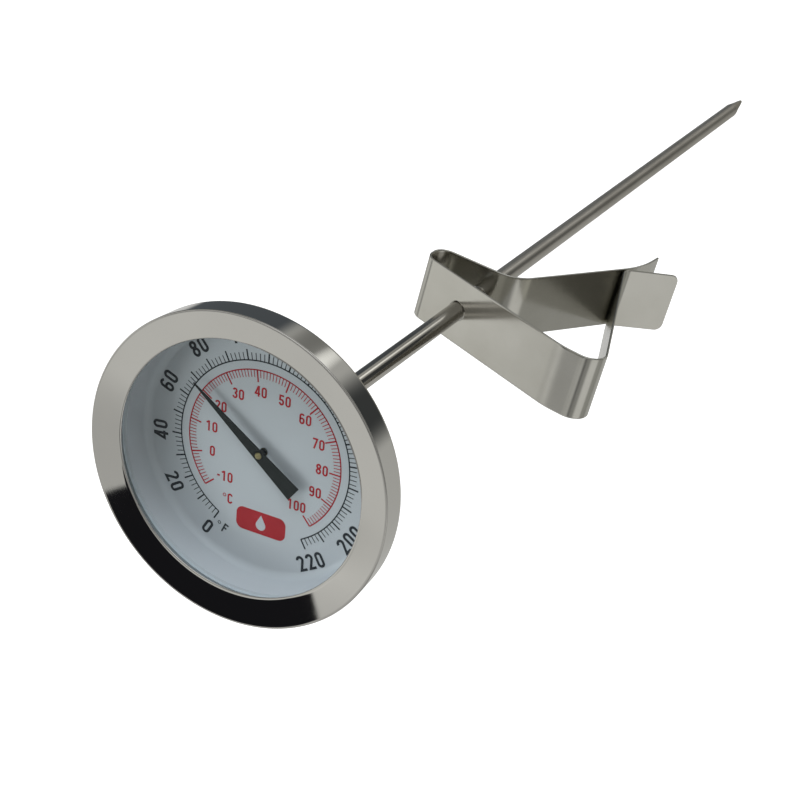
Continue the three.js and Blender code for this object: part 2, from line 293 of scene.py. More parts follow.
def metal(name, light, dark, roughness, grain, depth, polish=None):
    """Steel or brass: two close tones in soft blotches, and a grain of fine lines along one direction.

    With a polish, it grows smoother from one height to another, down to a share of its roughness."""
    n = Finish(name)
    cloud = n.noise(n.place(), BLOTCHES)
    lines = n.noise(n.place(grain))
    n.drive("Base Color", n.mix(n.spread(cloud, 0, 1), light, dark))
    n.drive("Metallic", 1.0)
    both = n.calculate("MULTIPLY", n.calculate("ADD", cloud, lines), 0.5)
    rough = n.spread(both, *roughness)
    if polish:
        bottom, top, share = polish
        height = n.add("ShaderNodeSeparateXYZ", {0: n.place()}).outputs["Z"]
        inputs = {"Value": height, "From Min": bottom, "From Max": top, "To Min": 1.0, "To Max": share}
        left = n.add("ShaderNodeMapRange", inputs).outputs["Result"]
        rough = n.calculate("MULTIPLY", rough, left)
    n.drive("Roughness", rough)
    n.drive("Normal", n.bump(lines, depth))
    return n.material


def turned_metal(name, light, dark, roughness, lines_per_metre, depth):
    """Steel polished on a lathe: fine rings round the dial's axis over soft blotches."""
    n = Finish(name)
    place = n.place(centre=DIAL_CENTRE)
    flat = n.calculate_vector("MULTIPLY", place, (1, 1, 0)).outputs[0]
    radius = n.add("ShaderNodeVectorMath", {0: flat}, operation="LENGTH").outputs["Value"]
    height = n.add("ShaderNodeSeparateXYZ", {0: place}).outputs["Z"]
    across = n.add("ShaderNodeCombineXYZ", {"X": radius, "Z": height}).outputs[0]
    rings = n.noise(across, lines_per_metre)
    cloud = n.noise(place, TURNED_BLOTCHES)
    n.drive("Base Color", n.mix(n.spread(cloud, 0, 1), light, dark))
    n.drive("Metallic", 1.0)
    n.drive("Roughness", n.spread(rings, *roughness))
    n.drive("Normal", n.bump(rings, depth))
    return n.material


def coated(name, light, dark, roughness, blotch, grit, depth, shine=0.5, coat=0.0):
    """Paint, ink, enamel or rubber: two close tones and a fine grit."""
    n = Finish(name)
    cloud = n.noise(n.place(), blotch)
    fine = n.noise(n.place(), grit, 3.0)
    n.drive("Base Color", n.mix(n.spread(cloud, 0, 1), light, dark))
    n.drive("Roughness", n.spread(fine, *roughness))
    n.drive("Normal", n.bump(fine, depth))
    n.drive("Specular IOR Level", shine)
    n.drive("Coat Weight", coat)
    n.drive("Coat Roughness", 0.1)
    return n.material


def pane(name):
    """A thin clear pane: straight through, with the reflection of its surface and a few faint smears."""
    n = Finish(name)
    n.tree.nodes.remove(n.shader)
    smears = n.spread(n.noise(n.place((70, 150, 70)), detail=5.0), 0.0, 0.06)
    clear = n.add("ShaderNodeBsdfTransparent", {"Color": (0.96, 0.985, 0.99, 1)})
    gloss = n.add("ShaderNodeBsdfGlossy", {"Color": (1, 1, 1, 1), "Roughness": smears})
    facing = n.add("ShaderNodeLayerWeight", {"Blend": 0.1}).outputs["Facing"]
    share = n.add("ShaderNodeMath", {0: facing, 1: 0.12, 2: 0.003}, operation="MULTIPLY_ADD").outputs[0]
    both = n.add("ShaderNodeMixShader", {0: share, 1: clear.outputs[0], 2: gloss.outputs[0]})
    n.tree.links.new(both.outputs[0], n.output.inputs["Surface"])
    return n.material


POLISHED = turned_metal(
    "polished_steel", (0.65, 0.64, 0.61), (0.61, 0.60, 0.57),
    roughness=(0.02, 0.045), lines_per_metre=9000, depth=0.0000008,
)
SKIRT = turned_metal(
    "satin_skirt", (0.64, 0.63, 0.60), (0.56, 0.55, 0.53),
    roughness=(0.13, 0.20), lines_per_metre=5000, depth=0.0000015,
)
DRAWN = turned_metal(
    "drawn_steel", (0.55, 0.54, 0.51), (0.46, 0.45, 0.42),
    roughness=(0.2, 0.34), lines_per_metre=4000, depth=0.000003,
)
SATIN_STEM = metal(
    "stem_steel", (0.56, 0.54, 0.50), (0.46, 0.44, 0.40),
    roughness=(0.26, 0.40), grain=(9000, 9000, 250), depth=0.000002, polish=(0.035, 0.065, 0.34),
)
SATIN_CLIP = metal(
    "clip_steel", (0.60, 0.59, 0.55), (0.53, 0.52, 0.475),
    roughness=(0.13, 0.21), grain=(120, 4000, 120), depth=0.0000006,
)
BRASS = metal(
    "turned_brass", (0.60, 0.50, 0.27), (0.44, 0.37, 0.19),
    roughness=(0.22, 0.38), grain=(600, 600, 9000), depth=0.000002,
)
BIMETAL = metal(
    "rolled_bimetal", (0.5, 0.46, 0.40), (0.40, 0.37, 0.33),
    roughness=(0.3, 0.45), grain=(500, 500, 6000), depth=0.000002,
)
ENAMEL = coated(
    "dial_enamel", (0.61, 0.62, 0.645), (0.585, 0.595, 0.62),
    roughness=(0.30, 0.42), blotch=80, grit=4000, depth=0.000003, coat=0.3,
)
INK_BLACK = coated(
    "ink_black", (0.018, 0.022, 0.028), (0.03, 0.034, 0.04),
    roughness=(0.42, 0.55), blotch=300, grit=9000, depth=0.000002, shine=0.25,
)
INK_RED = coated(
    "ink_red", (0.50, 0.028, 0.038), (0.43, 0.022, 0.030),
    roughness=(0.42, 0.55), blotch=300, grit=9000, depth=0.000002, shine=0.25,
)
BLACKED = coated(
    "pointer_black", (0.012, 0.015, 0.015), (0.019, 0.022, 0.022),
    roughness=(0.34, 0.5), blotch=400, grit=6000, depth=0.000004, shine=0.25,
)
NITRILE = coated(
    "nitrile", (0.02, 0.02, 0.021), (0.03, 0.03, 0.03),
    roughness=(0.6, 0.75), blotch=500, grit=5000, depth=0.000006,
)
SILICONE = coated(
    "silicone", (0.62, 0.66, 0.69), (0.57, 0.61, 0.64),
    roughness=(0.5, 0.62), blotch=200, grit=4000, depth=0.000006,
)
CLEAR = pane("clear_lens")

# ---- head ----
OPENING_R = 25.4
BEZEL_R = 31.3
BEZEL_TOP_Z = 10.75
OPENING_Z = 9.5
LENS_Z = 7.3
LENS_T = 1.5
FLANGE_R = 30.1  # of the lens, the dial and the case, which the bezel clamps
SKIRT_FROM_R = 31.22
DIAL_T = 0.5
DIAL_HOLE_R = 0.85
DIAL_BEND = (24.5, 1.6)  # centre of the bend from the flat face into the wall
DIAL_BEND_R = 1.6
DIAL_WALL_FROM = -8  # angle at which the bend meets the wall, in degrees
DIAL_RIM_Z = 6.6
CASE_R = 27.5
CASE_T = 0.6
CASE_FLANGE_Z = 6.0
CASE_BACK_Z = -7.0
CASE_HOLE_R = 3.1


def bezel():
    """A ring rolled over the head: polished flange, satin skirt, a lip turned in under the case's flange."""
    outline = [
        (OPENING_R + 0.2, OPENING_Z - 0.65),
        (29.9, 10.0),
        (30.6, 9.4),
        (30.5, 5.3),
        (30.2, 4.9),
        (29.0, 4.9),
        (28.8, 4.5),
        (29.0, 4.1),
        (30.4, 4.1),
        (31.0, 4.7),
        (BEZEL_R, BEZEL_TOP_Z),
        (OPENING_R + 0.25, OPENING_Z + 0.05),
        (OPENING_R, OPENING_Z - 0.2),
    ]
    mesh = turned_mesh("bezel", eased(outline, 0.42), AROUND)
    piece = finish_mesh("bezel", mesh, "head", POLISHED)
    piece.data.materials.append(SKIRT)
    for face in piece.data.polygons:
        out = (face.center - DIAL_CENTRE).xy.length
        face.material_index = int(out > SKIRT_FROM_R * MM)
    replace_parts(piece, "bezel_ring")


def lens_pane():
    outline = [(0, LENS_Z), (FLANGE_R, LENS_Z), (FLANGE_R, LENS_Z + LENS_T), (0, LENS_Z + LENS_T)]
    mesh = turned_mesh("lens_pane", eased(outline, 0.2), AROUND)
    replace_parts(finish_mesh("lens_pane", mesh, "head", CLEAR), "lens")


def dial_face():
    """Flat where it is printed, then a soft bend into a wall that leans out to the lens."""
    steps = 8
    outline = [
        *arc(DIAL_BEND, DIAL_BEND_R, -90, DIAL_WALL_FROM, steps),
        (26.4, DIAL_RIM_Z - 0.4),
        (26.9, DIAL_RIM_Z),
        (FLANGE_R, DIAL_RIM_Z),
        (FLANGE_R, DIAL_RIM_Z - DIAL_T),
        (27.1, DIAL_RIM_Z - DIAL_T),
        *arc(DIAL_BEND, DIAL_BEND_R + DIAL_T, DIAL_WALL_FROM, -90, steps),
        (DIAL_HOLE_R, -DIAL_T),
        (DIAL_HOLE_R, 0),
    ]
    mesh = turned_mesh("dial_face", outline, AROUND)
    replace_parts(finish_mesh("dial_face", mesh, "head", ENAMEL), "dial_dish")


def case_shell():
    """A drawn cup: flat back with a hole, a sloped and then an upright wall, and a flange."""
    inner = CASE_R - CASE_T
    outline = [
        (CASE_HOLE_R, CASE_BACK_Z),
        (19.6, CASE_BACK_Z),
        (21.3, CASE_BACK_Z + 0.5),
        (26.6, -1.0),
        (CASE_R, 1.6),
        (CASE_R + 0.1, CASE_FLANGE_Z - CASE_T),
        (FLANGE_R, CASE_FLANGE_Z - CASE_T),
        (FLANGE_R, CASE_FLANGE_Z),
        (inner + 0.1, CASE_FLANGE_Z),
        (inner, 1.6),
        (26.1, -0.8),
        (21.0, CASE_BACK_Z + 1.0),
        (19.4, CASE_BACK_Z + CASE_T),
        (CASE_HOLE_R, CASE_BACK_Z + CASE_T),
    ]
    mesh = turned_mesh("case_shell", eased(outline, 0.8), AROUND)
    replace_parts(finish_mesh("case_shell", mesh, "head", DRAWN), "case_cup")


# ---- printing on the dial ----
SCALE_ZERO = 240.0  # angle of 0 degrees Fahrenheit, counterclockwise from the right
DEGREES_PER_F = 300 / 220
INK_LOW = 0.005
INK_HIGH = 0.03
INK_STEP = 0.002  # between the tops of strokes that cross
LINE_W = 0.25
MITRE_LEAST = 0.4  # holds back the mitre of a sharp corner
F_LINE_R = 18.15
F_MAJOR_TICK = (2.1, 0.3)  # length and width
F_MINOR_TICK = (1.5, 0.16)
F_NUMBER_R = 22.9
F_NUMBER_H = 3.25
F_NUMBER_GAP = 0.155
F_UPRIGHT = range(40, 181)  # the numbers that stand with their feet to the middle
C_LINE_R = 16.34
C_MAJOR_TICK = (2.4, 0.3)
C_MINOR_TICK = (1.5, 0.15)
C_NUMBER_R = 12.0
C_NUMBER_H = 2.15
C_NUMBER_GAP = 0.125
C_NUMBER_RIGHT = 0.4
C_NUMBER_UP = 0.12
C_NUMBER_WIDE = {-10: 0.95, 100: -0.25}  # the wide numbers stay clear of their ticks
DEGREE_MARK_R = 0.3
DEGREE_MARK_W = 0.14


def angle_f(reading):
    return SCALE_ZERO - DEGREES_PER_F * reading


def angle_c(reading):
    return angle_f(32 + 1.8 * reading)


def pen_edges(line, width, closed):
    """The left and right edges of a pen line, mitred at its corners."""
    left, right = [], []
    for i, here in enumerate(line):
        ways = []
        if closed or i > 0:
            ways.append((here - line[i - 1]).normalized())
        if closed or i + 1 < len(line):
            ways.append((line[(i + 1) % len(line)] - here).normalized())
        normals = [Vector((-way.y, way.x)) for way in ways]
        mitre = sum(normals, Vector((0, 0))).normalized()
        reach = width / 2 / max(mitre.dot(normals[0]), MITRE_LEAST)
        left.append(here + mitre * reach)
        right.append(here - mitre * reach)
    return left, right


def oval(y, rx, ry, start, end):
    """Part of an upright ellipse in the middle of a glyph's cell, angles in degrees."""
    return [(CELL_W / 2 + rx * c, y + ry * s) for c, s in arc((0, 0), 1, start, end, 16)]


# Bold condensed digits and letters as pen strokes, in a cell that is 1 high.
CELL_W = 0.52
PEN = 0.165
EDGE = PEN / 2
BOW = CELL_W / 2 - EDGE
UPPER = 1 - EDGE - BOW
LOWER = EDGE + BOW
STADIUM = [*oval(UPPER, BOW, BOW, 0, 180), *oval(LOWER, BOW, BOW, 180, 360), (CELL_W - EDGE, UPPER)]
SIX = [*oval(UPPER, BOW, BOW, 25, 180), *oval(LOWER, BOW, BOW, 180, 360), *oval(0.39, BOW, 0.15, 0, 165)]
NARROW = {"-": 0.3}
GLYPHS = {
    "0": [STADIUM],
    "1": [[(0.3, 0), (0.3, 1)], [(0.05, 0.78), (0.29, 0.93)]],
    "2": [[*oval(UPPER, BOW, BOW, 175, -25), (0.1, EDGE), (CELL_W, EDGE)]],
    "3": [[*oval(0.735, 0.165, 0.185, 165, -75), *oval(0.29, BOW, 0.21, 75, -170)]],
    "4": [[(0.33, 0.98), (0.06, 0.27), (CELL_W, 0.27)], [(0.37, 0), (0.37, 1)]],
    "5": [[(0.48, 1 - EDGE), (0.12, 1 - EDGE), (0.1, 0.46)], oval(0.31, BOW, 0.225, 135, -170)],
    "6": [SIX],
    "7": [[(0.02, 1 - EDGE), (0.44, 1 - EDGE), (0.17, 0)]],
    "8": [oval(0.745, 0.165, 0.175, 0, 360), oval(0.29, BOW, 0.21, 0, 360)],
    "9": [[(CELL_W - x, 1 - y) for x, y in SIX]],
    "-": [[(0, 0.42), (0.27, 0.42)]],
    "C": [[*oval(UPPER, BOW, BOW, 5, 180), *oval(LOWER, BOW, BOW, 180, 355)]],
    "F": [[(0.08, 0), (0.08, 1)], [(0.1, 1 - EDGE), (0.46, 1 - EDGE)], [(0.1, 0.52), (0.4, 0.52)]],
}


class Print:
    """Flat ink shapes of one colour, gathered in one mesh."""

    def __init__(self):
        self.bm = bmesh.new()

    def patch(self, outline, top=INK_HIGH):
        prism(self.bm, outline, INK_LOW, top)

    def tick(self, angle, inner, outer, width):
        along = Vector(around(angle, 1))
        aside = Vector((-along.y, along.x)) * width / 2
        near, far = along * inner, along * outer
        self.patch([near - aside, far - aside, far + aside, near + aside])

    def stroke(self, points, width, lift=0.0):
        """A pen line as a thin closed solid. It closes on itself if it ends where it starts."""
        line = [Vector(p) for p in points]
        closed = (line[0] - line[-1]).length < TINY
        if closed:
            line.pop()
        left, right = pen_edges(line, width, closed)
        low, high = INK_LOW, INK_HIGH + lift
        rows = [
            [self.bm.verts.new((p.x, p.y, z)) for p in side]
            for side, z in ((left, high), (right, high), (right, low), (left, low))
        ]
        count = len(line)
        for here, there in zip(rows, rows[1:] + rows[:1]):
            for i in range(count if closed else count - 1):
                j = (i + 1) % count
                self.bm.faces.new((here[i], here[j], there[j], there[i]))
        if not closed:
            self.bm.faces.new([row[0] for row in rows])
            self.bm.faces.new([row[-1] for row in rows])

    def sweep(self, radius, start, end, width):
        self.stroke(arc((0, 0), radius, start, end, int(abs(end - start))), width)

    def text(self, body, centre, height, turn=0.0, gap=0.0):
        """A word in pen strokes, centred on a point and turned by an angle in degrees."""
        widths = [NARROW.get(letter, CELL_W) for letter in body]
        start = -(sum(widths) + gap * (len(body) - 1)) / 2
        turned = Matrix.Rotation(math.radians(turn), 2)
        for letter, cell in zip(body, widths):
            for k, path in enumerate(GLYPHS[letter]):
                spots = [turned @ Vector((start + x, y - 0.5)) * height + Vector(centre) for x, y in path]
                self.stroke(spots, PEN * height, lift=k * INK_STEP)
            start += cell + gap

    def unit_sign(self, letter, centre, height, turn, mark_centre):
        """A letter with its small degree ring."""
        self.text(letter, centre, height, turn)
        self.stroke(arc(mark_centre, DEGREE_MARK_R, 0, 360, 24), DEGREE_MARK_W)

    def piece(self, name, material):
        finish_mesh(name, mesh_from(self.bm, name), "head", material)


def fahrenheit_scale():
    """The outer scale: ticks outwards from its line, and numbers along the circle."""
    ink = Print()
    ink.sweep(F_LINE_R, angle_f(220), angle_f(0), LINE_W)
    for reading in range(0, 221, 2):
        reach, width = F_MINOR_TICK if reading % 10 else F_MAJOR_TICK
        ink.tick(angle_f(reading), F_LINE_R, F_LINE_R + reach, width)
    for reading in range(0, 221, 20):
        angle = angle_f(reading)
        turn = angle - 90 if reading in F_UPRIGHT else angle + 90
        ink.text(str(reading), around(angle, F_NUMBER_R), F_NUMBER_H, turn, F_NUMBER_GAP)
    ink.unit_sign("F", (-7.5, -19.05), 2.1, -24, (-8.85, -18.05))
    ink.piece("fahrenheit_scale", INK_BLACK)


def celsius_scale():
    """The inner scale: ticks inwards from its line, and level numbers."""
    ink = Print()
    ink.sweep(C_LINE_R, angle_c(100), angle_c(-10), LINE_W)
    for reading in range(-10, 101):
        reach, width = C_MINOR_TICK if reading % 10 else C_MAJOR_TICK
        ink.tick(angle_c(reading), C_LINE_R - reach, C_LINE_R, width)
    for reading in range(-10, 101, 10):
        right = C_NUMBER_WIDE.get(reading, C_NUMBER_RIGHT)
        x, y = around(angle_c(reading), C_NUMBER_R)
        ink.text(str(reading), (x + right, y + C_NUMBER_UP), C_NUMBER_H, 0, C_NUMBER_GAP)
    ink.unit_sign("C", (-6.75, -12.2), C_NUMBER_H, 0, (-8.0, -11.7))
    ink.piece("celsius_scale", INK_RED)


EMBLEM_CENTRE = (0.25, -15.3)
EMBLEM_HALF_W = 5.4
EMBLEM_HALF_H = 2.4
EMBLEM_CORNER_R = 1.5
DROP_R = 1.05
DROP_CENTRE = (EMBLEM_CENTRE[0], EMBLEM_CENTRE[1] - 0.45)
DROP_TIP = (EMBLEM_CENTRE[0], EMBLEM_CENTRE[1] + 1.75)


def emblem():
    """A plain red plate with rounded corners and a white drop on it."""
    plate = Print()
    plate.patch(rounded_box(EMBLEM_CENTRE, EMBLEM_HALF_W, EMBLEM_HALF_H, EMBLEM_CORNER_R, 10))
    plate.piece("emblem_plate", INK_RED)
    drop = Print()
    touch = math.degrees(math.asin(DROP_R / (DROP_TIP[1] - DROP_CENTRE[1])))
    drop.patch([*arc(DROP_CENTRE, DROP_R, 180 - touch, 360 + touch, 40), DROP_TIP], 2 * INK_HIGH)
    drop.piece("emblem_drop", ENAMEL)


# ---- pointer ----
REST_READING_F = 70.5
POINTER_Z = 1.75
POINTER_T = 0.25
POINTER_TURN = Matrix.Rotation(math.radians(angle_f(REST_READING_F)), 4, "Z")
POINTER_TIP = (18.2, 0.13)  # reach and half width
POINTER_TAIL = (-9.7, 1.75)
POINTER_EDGE = 0.05
COLLAR_TOP_Z = POINTER_Z - 0.02
CAP_R = 0.72
CAP_H = 0.52


def pointer_blade():
    """A straight tapered blade with a long wide tail and eased edges."""
    (tip_x, tip_y), (tail_x, tail_y) = POINTER_TIP, POINTER_TAIL
    outline = [(tip_x, -tip_y), (tip_x, tip_y), (tail_x, tail_y), (tail_x, -tail_y)]
    bm = bmesh.new()
    prism(bm, outline, POINTER_Z, POINTER_Z + POINTER_T)
    bmesh.ops.bevel(bm, geom=bm.edges[:], offset=POINTER_EDGE, segments=2, affect="EDGES")
    mesh = mesh_from(bm, "pointer_blade")
    to_row = DIAL_TO_ROW @ POINTER_TURN
    piece = finish_mesh("pointer_blade", mesh, "indicator", BLACKED, to_row)
    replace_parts(piece, "pointer")


def pointer_collar():
    """A stepped sleeve from the dial up to the blade."""
    outline = [(0.55, 0.3), (0.72, 0.3), (0.72, 1.0), (0.85, 1.2), (0.85, COLLAR_TOP_Z), (0.55, COLLAR_TOP_Z)]
    mesh = turned_mesh("pointer_collar", eased(outline, 0.12), AROUND_SMALL)
    piece = finish_mesh("pointer_collar", mesh, "indicator", BLACKED)
    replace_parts(piece, "pointer_hub")


def pointer_cap():
    """A low dome on the blade."""
    base = POINTER_Z + POINTER_T
    dome = arc((0, base - 0.3), CAP_R + 0.1, 30, 90, 8)
    outline = [(0, base), (CAP_R, base), *dome[:-1], (0, base + CAP_H)]
    mesh = turned_mesh("pointer_cap", outline, AROUND_SMALL)
    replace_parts(finish_mesh("pointer_cap", mesh, "indicator", BRASS), "pointer_pin")


# ---- stem and nut ----
STEM_R = 2.1
STEM_BORE_R = 1.75
STEM_TOP_Z = -5.1
STEM_END_Z = CASE_BACK_Z - 304.8
CONE_TOP_Z = STEM_END_Z + 13
POINT_TOP_Z = CONE_TOP_Z - 0.03
POINT_SIDE = 127.0
POINT_ASIDE = 0.45
PLUG_R = STEM_BORE_R - 0.05
PLUG_TOP_Z = CONE_TOP_Z + 5
NUT_FLATS = 11.0
NUT_TOP_Z = -8.15
NUT_END_Z = -14.0
NUT_STEP_Z = -12.3
NUT_BORE_R = STEM_R + 0.1
NUT_NECK_R = 3.0


def stem_shaft():
    outline = [
        (STEM_BORE_R, CONE_TOP_Z),
        (STEM_R, CONE_TOP_Z),
        (STEM_R, STEM_TOP_Z),
        (STEM_BORE_R, STEM_TOP_Z),
    ]
    mesh = turned_mesh("stem_shaft", eased(outline, 0.05, 3), AROUND_SMALL)
    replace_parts(finish_mesh("stem_shaft", mesh, "stem", SATIN_STEM), "stem_tube")


def stem_point():
    """A blunt point, ground a little to one side."""
    outline = [
        (0, STEM_END_Z),
        (0.3, STEM_END_Z + 0.12),
        (0.55, STEM_END_Z + 1.0),
        (0.95, STEM_END_Z + 4.0),
        (1.42, STEM_END_Z + 8.0),
        (1.95, STEM_END_Z + 11.8),
        (STEM_R, POINT_TOP_Z),
        (PLUG_R, POINT_TOP_Z),
        (PLUG_R, PLUG_TOP_Z),
        (0, PLUG_TOP_Z),
    ]
    mesh = turned_mesh("stem_point", outline, AROUND_SMALL)
    for vertex in mesh.vertices:
        left = max(0.0, (CONE_TOP_Z - vertex.co.z) / (CONE_TOP_Z - STEM_END_Z))
        vertex.co += Vector((*around(POINT_SIDE, POINT_ASIDE), 0)) * left
    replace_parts(finish_mesh("stem_point", mesh, "stem", SATIN_STEM), "stem_tip")


def hex_nut():
    """Six flats, both ends chamfered to a circle, a stepped bore for the neck and the stem."""
    corner = NUT_FLATS / math.sqrt(3)
    bm = bmesh.new()
    prism(bm, [around(60 * i, corner) for i in range(6)], NUT_END_Z, NUT_TOP_Z)
    past = 2.0
    bore = [
        (0, NUT_END_Z - past),
        (NUT_BORE_R, NUT_END_Z - past),
        (NUT_BORE_R, NUT_STEP_Z),
        (NUT_NECK_R, NUT_STEP_Z),
        (NUT_NECK_R, NUT_TOP_Z + past),
        (0, NUT_TOP_Z + past),
    ]
    nut = cut(mesh_from(bm, "nut_block"), turned_mesh("nut_bore", bore, AROUND_SMALL))
    inner, outer = corner - 0.7, corner + 0.6
    for flat, away in ((NUT_END_Z, -1), (NUT_TOP_Z, 1)):
        rim = [
            (inner, flat + away * 0.02),
            (outer, flat - away * 0.85),
            (outer, flat + away),
            (inner, flat + away),
        ]
        nut = cut(nut, turned_mesh("nut_chamfer", rim, AROUND))
    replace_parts(finish_mesh("hex_nut", nut, "stem", SATIN_STEM), "calibration_nut")


# ---- clip: one spring strip, drawn in the x and z plane in millimetres from the grip ----
STRIP_T = 0.5
STRIP_W = 15.4
STRIP_EDGE_R = 0.2
STRIP_NEAR = 0.3  # how near a bend or an edge a flat stretch is held
CLIP_HOLE_R = 2.35
CLIP_HOLES_Z = 40.0  # middle of the cut through both legs
CLIP_HOLES_DEPTH = 40.0
# Corners of the strip's line from the lip of the inner leg, round the stem and the wall, to the tab.
LIP = (3.0, -14.4)
LIP_BEND = (2.1, -5.2)
LEG_BEND = (-16.7, 30.3)
CLIP_BACK = (-36.5, 30.5)
CLIP_FRONT = (-36.5, 37.6)
CREASE = (3.9, 51.2)
LOOP = (14.3, 52.1)
PINCH = (-0.43, 0.4)
TAB_END = (10.6, -9.1)
# Radii of its bends.
LIP_BEND_R = 30
LEG_BEND_R = 8
HAIRPIN_R = 3.5
CREASE_R = 18
LOOP_R = 4.2
PINCH_R = 3.2
TAB_CORNER_R = 1.8


def bend_points(before, corner, after, radius):
    """A corner rounded with an arc that touches both of its lines, a point every three degrees or less."""
    a, b, c = Vector(before), Vector(corner), Vector(after)
    to_a = (a - b).normalized()
    to_c = (c - b).normalized()
    half = to_a.angle(to_c) / 2
    centre = b + (to_a + to_c).normalized() * radius / math.sin(half)
    start = b + to_a * radius / math.tan(half) - centre
    end = b + to_c * radius / math.tan(half) - centre
    sweep = math.atan2(start.x * end.y - start.y * end.x, start.dot(end))
    steps = max(2, math.ceil(abs(math.degrees(sweep)) / 3))
    return [centre + Matrix.Rotation(sweep * i / steps, 2) @ start for i in range(steps + 1)]


def corner_cut(left, radius):
    """How far a rounded corner stands in from the strip's side, at a distance from the strip's end."""
    rise = max(radius - left, 0)
    return radius - math.sqrt(radius**2 - rise**2)


def strip_mesh(name, line, end_corner_r=0.0):
    """A strip of even thickness with rounded edges, swept along a bent line, its end's corners rounded."""
    bm = bmesh.new()
    rows = []
    line = [Vector(p) for p in held(line, STRIP_NEAR)]
    for i, here in enumerate(line):
        ahead = line[min(i + 1, len(line) - 1)] - line[max(i - 1, 0)]
        normal = Vector((-ahead.y, ahead.x)).normalized()
        half = STRIP_W / 2 - corner_cut((line[-1] - here).length, end_corner_r)
        section = rounded_box((0, 0), half, STRIP_T / 2, STRIP_EDGE_R, 4)
        ring = []
        for y, n in held([*section, section[0]], STRIP_NEAR)[:-1]:
            spot = here + normal * n
            ring.append(bm.verts.new((spot.x, y, spot.y)))
        rows.append(ring)
    for here, there in zip(rows, rows[1:]):
        bridge(bm, here, there)
    bm.faces.new(rows[0][::-1])
    bm.faces.new(rows[-1])
    return mesh_from(bm, name)


def tab_points():
    """Rows across the tab's rounded end, closer together towards its tip."""
    end = Vector(TAB_END)
    back = (Vector(PINCH) - end).normalized()
    turns = [math.radians(15 * k) for k in range(7)]
    return [end + back * TAB_CORNER_R * (1 - math.sin(a)) for a in turns]


def clip_holes():
    """The two holes that the stem runs through, one in each leg of the hairpin."""
    bm = bmesh.new()
    bmesh.ops.create_cone(
        bm,
        cap_ends=True,
        segments=AROUND_SMALL,
        radius1=CLIP_HOLE_R,
        radius2=CLIP_HOLE_R,
        depth=CLIP_HOLES_DEPTH,
        matrix=Matrix.Translation((DIAL_CENTRE.x / MM, 0, CLIP_HOLES_Z)),
    )
    return mesh_from(bm, "clip_holes")


def clip_pieces():
    """The strip in two pieces that meet just before the outer bend."""
    crease = bend_points(CLIP_FRONT, CREASE, LOOP, CREASE_R)
    join = crease[-1].lerp(Vector(LOOP), 0.1)
    band_line = [
        LIP,
        *bend_points(LIP, LIP_BEND, LEG_BEND, LIP_BEND_R),
        *bend_points(LIP_BEND, LEG_BEND, CLIP_BACK, LEG_BEND_R),
        *bend_points(LEG_BEND, CLIP_BACK, CLIP_FRONT, HAIRPIN_R),
        *bend_points(CLIP_BACK, CLIP_FRONT, CREASE, HAIRPIN_R),
        *crease,
        join,
    ]
    band = cut(strip_mesh("clip_band_strip", band_line), clip_holes())
    band = finish_mesh("clip_strip", band, "clip", SATIN_CLIP, CLIP_TO_ROW)
    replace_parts(band, "clip_band")

    loop = bend_points(CREASE, LOOP, PINCH, LOOP_R)
    jaw_line = [join, *loop, *bend_points(LOOP, PINCH, TAB_END, PINCH_R), *tab_points()]
    jaw = strip_mesh("clip_jaw_strip", jaw_line, TAB_CORNER_R)
    jaw = finish_blended("clip_outer_jaw", jaw)
    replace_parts(jaw, "clip_jaw")


def finish_blended(name, mesh):
    """The outer bend and jaw, placed in the row frame with its transform baked into the mesh."""
    piece = placed(name, mesh, SATIN_CLIP, CLIP_TO_ROW)
    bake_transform(piece)
    return piece


# ---- CAD nodes that stay, inside the head and the stem or between the case and the nut ----
KEPT = {
    "lens_gasket": SILICONE,
    "gland_bushing": BRASS,
    "spring_washer": DRAWN,
    "o_ring": NITRILE,
    "upper_bush": BRASS,
    "middle_bush": BRASS,
    "lower_bush": BRASS,
    "bimetal_helix": BIMETAL,
    "helix_anchor": BRASS,
    "helix_ferrule": BRASS,
    "spindle": DRAWN,
}


def dress_kept_nodes():
    for name, material in KEPT.items():
        mesh = frame["nodes"][name].data
        mesh.materials.clear()
        mesh.materials.append(material)


# ---- studio ----
CAMERA_PLACE = Vector((0.0860, 0.1675, 0.3685))
CAMERA_TARGET = Vector((-0.01523, 0.0, 0.08835))
CAMERA_ROLL = math.radians(128.06)
CAMERA_LENS = 75.84
CAMERA_SENSOR = 36
FLOOR_BELOW = 0.12
FLOOR_SIDE = 8.0
FLOOR_GLOW = 0.6
BACKDROP = (0.96, 0.96, 0.95)


def camera():
    data = bpy.data.cameras.new("camera")
    data.sensor_width = CAMERA_SENSOR
    data.lens = CAMERA_LENS
    data.clip_start = 0.01
    cam = linked("camera", data)
    cam.location = CAMERA_PLACE
    level = (CAMERA_TARGET - CAMERA_PLACE).to_track_quat("-Z", "Y")
    cam.rotation_mode = "QUATERNION"
    cam.rotation_quaternion = level @ Quaternion((0, 0, 1), -CAMERA_ROLL)
    bpy.context.scene.camera = cam


def floor():
    """A large white sheet below the part that glows a little. The steel doesn't reflect it."""
    white = Finish("floor_white")
    white.drive("Base Color", (0.97, 0.97, 0.97, 1))
    white.drive("Roughness", 0.8)
    white.drive("Emission Color", (1, 1, 1, 1))
    white.drive("Emission Strength", FLOOR_GLOW)
    half = FLOOR_SIDE / 2
    corners = [(-half, -half, 0), (half, -half, 0), (half, half, 0), (-half, half, 0)]
    mesh = bpy.data.meshes.new("floor")
    mesh.from_pydata(corners, [], [(0, 1, 2, 3)])
    mesh.materials.append(white.material)
    sheet = linked("floor", mesh)
    sheet.location = (0, 0, cad_low.z - FLOOR_BELOW)
    sheet.visible_glossy = False


